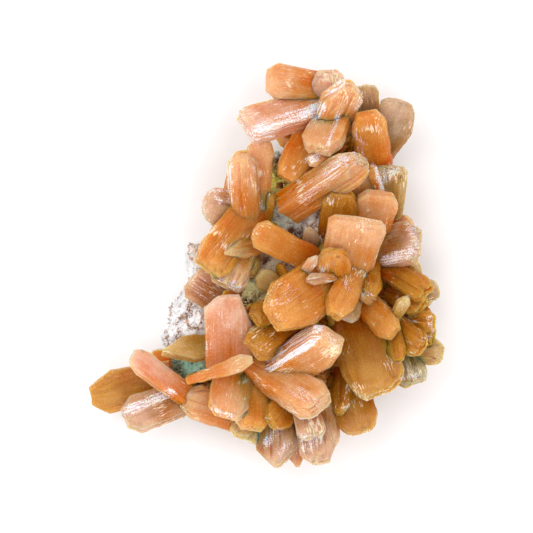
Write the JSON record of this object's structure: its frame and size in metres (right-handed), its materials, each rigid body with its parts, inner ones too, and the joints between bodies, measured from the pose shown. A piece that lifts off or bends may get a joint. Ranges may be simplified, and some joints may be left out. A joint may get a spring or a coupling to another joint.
{
  "type": "stilbite and mordenite specimen",
  "caption": "Cabinet mineral specimen: peach stilbite crystals in sheaves on a rock coated with mordenite, cut flat at the back.",
  "frame": {"origin": "in the flat cut at the back of the rock, under the middle of the specimen", "axes": "+Z out of the rock towards the crystals, +Y towards the narrow crown, +X to its right seen from above"},
  "size_m": [0.0902, 0.1018, 0.0423],
  "materials": {
    "matrix": "rough fibrous coat",
    "crown_left_spray": "pearly, translucent",
    "crown_centre_spray": "pearly, translucent",
    "crown_right_spray": "pearly, translucent",
    "centre_sheaf": "pearly, translucent",
    "left_prism_spray": "pearly, translucent",
    "left_bundle": "pearly, translucent",
    "pink_tablet": "pearly, translucent",
    "centre_blade": "pearly, translucent",
    "small_leaf": "pearly, translucent",
    "pale_leaf": "pearly, translucent",
    "right_upper_spray": "pearly, translucent",
    "yellow_tablet": "pearly, translucent",
    "centre_block_spray": "pearly, translucent",
    "fluted_crystal": "pearly, translucent",
    "right_fan": "pearly, translucent",
    "recess_wall": "pearly, translucent",
    "yellow_prism": "pearly, translucent",
    "lower_right_spray": "pearly, translucent",
    "grey_crystal": "pearly, translucent",
    "bottom_right_tablet": "pearly, translucent",
    "heart_spray": "pearly, translucent",
    "under_heart_spray": "pearly, translucent",
    "pearly_crystal": "pearly, translucent",
    "left_tablet_spray": "pearly, translucent",
    "thin_lath": "pearly, translucent",
    "olive_blade": "pearly, translucent",
    "spur_spray": "pearly, translucent",
    "crossing_blade": "pearly, translucent",
    "lower_left_tablets": "pearly, translucent",
    "lower_left_spray": "pearly, translucent",
    "lower_sheaf": "pearly, translucent",
    "foot_spray": "pearly, translucent",
    "crown_flank_spray": "pearly, translucent",
    "crown_underside_crystal": "pearly, translucent",
    "right_flank_spray": "pearly, translucent",
    "fan_flank_spray": "pearly, translucent",
    "lower_right_flank_spray": "pearly, translucent",
    "foot_flank_spray": "pearly, translucent",
    "lower_left_flank_spray": "pearly, translucent",
    "left_flank_spray": "pearly, translucent"
  },
  "bodies": {
    "root": {"matrix": "matrix", "crown_left_spray": "crown_left_spray", "crown_centre_spray": "crown_centre_spray", "crown_right_spray": "crown_right_spray", "centre_sheaf": "centre_sheaf", "left_prism_spray": "left_prism_spray", "left_bundle": "left_bundle", "pink_tablet": "pink_tablet", "centre_blade": "centre_blade", "small_leaf": "small_leaf", "pale_leaf": "pale_leaf", "right_upper_spray": "right_upper_spray", "yellow_tablet": "yellow_tablet", "centre_block_spray": "centre_block_spray", "fluted_crystal": "fluted_crystal", "right_fan": "right_fan", "recess_wall": "recess_wall", "yellow_prism": "yellow_prism", "lower_right_spray": "lower_right_spray", "grey_crystal": "grey_crystal", "bottom_right_tablet": "bottom_right_tablet", "heart_spray": "heart_spray", "under_heart_spray": "under_heart_spray", "pearly_crystal": "pearly_crystal", "left_tablet_spray": "left_tablet_spray", "thin_lath": "thin_lath", "olive_blade": "olive_blade", "spur_spray": "spur_spray", "crossing_blade": "crossing_blade", "lower_left_tablets": "lower_left_tablets", "lower_left_spray": "lower_left_spray", "lower_sheaf": "lower_sheaf", "foot_spray": "foot_spray", "crown_flank_spray": "crown_flank_spray", "crown_underside_crystal": "crown_underside_crystal", "right_flank_spray": "right_flank_spray", "fan_flank_spray": "fan_flank_spray", "lower_right_flank_spray": "lower_right_flank_spray", "foot_flank_spray": "foot_flank_spray", "lower_left_flank_spray": "lower_left_flank_spray", "left_flank_spray": "left_flank_spray"}
  },
  "joints": []
}
